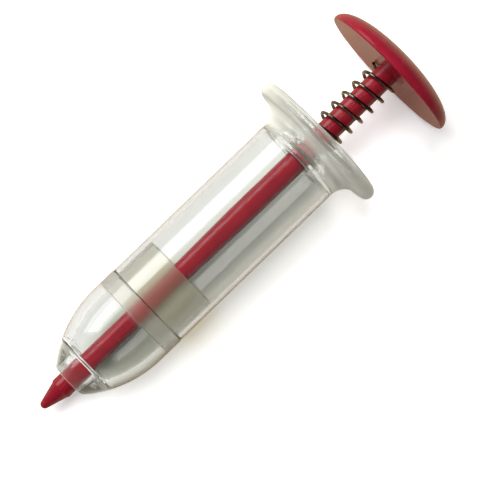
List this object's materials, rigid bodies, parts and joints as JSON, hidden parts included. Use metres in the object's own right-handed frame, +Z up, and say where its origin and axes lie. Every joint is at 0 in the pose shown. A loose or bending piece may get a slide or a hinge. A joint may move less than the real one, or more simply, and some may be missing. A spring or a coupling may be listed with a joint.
{
  "type": "hand seed sower",
  "caption": "Clear hand seed sower: a barrel with a finger flange, a pull-off rounded nose, and a sprung red plunger with a round thumb button, whose pointed tip closes the outlet.",
  "frame": {"origin": "on the table, under the middle of the object's bounding box as it lies at rest on its flange rim and its nose", "axes": "+X towards the thumb button and -X towards the pointed tip, +Z up from the table; the tool's own axis lies in the XZ plane and rises 6.16 degrees towards +X"},
  "size_m": [0.1398, 0.0432, 0.0458],
  "materials": {
    "clear_plastic": "clear moulded plastic, faintly grey-green, glossy with a hazy inner surface",
    "red_plastic": "deep red moulded plastic, satin gloss",
    "spring_wire": "dark bronzed spring wire with bright glints",
    "ring_steel": "plain spring steel"
  },
  "bodies": {
    "barrel": {"barrel": "clear_plastic", "return_spring": "spring_wire"},
    "nose_cap": {"nose_cap": "clear_plastic"},
    "plunger": {"plunger_rod": "red_plastic", "thumb_button": "red_plastic", "retaining_ring": "ring_steel"}
  },
  "joints": [
    {"name": "plunger_press", "type": "slide", "parent": "barrel", "child": "plunger", "axis": [-0.9942, 0, -0.1074], "range_m": [0, 0.02], "stiffness_N_per_m": 350, "springref_m": -0.004, "deforming": ["return_spring"]},
    {"name": "nose_cap_pull", "type": "slide", "parent": "barrel", "child": "nose_cap", "axis": [-0.9942, 0, -0.1074], "range_m": [0, 0.056]}
  ]
}
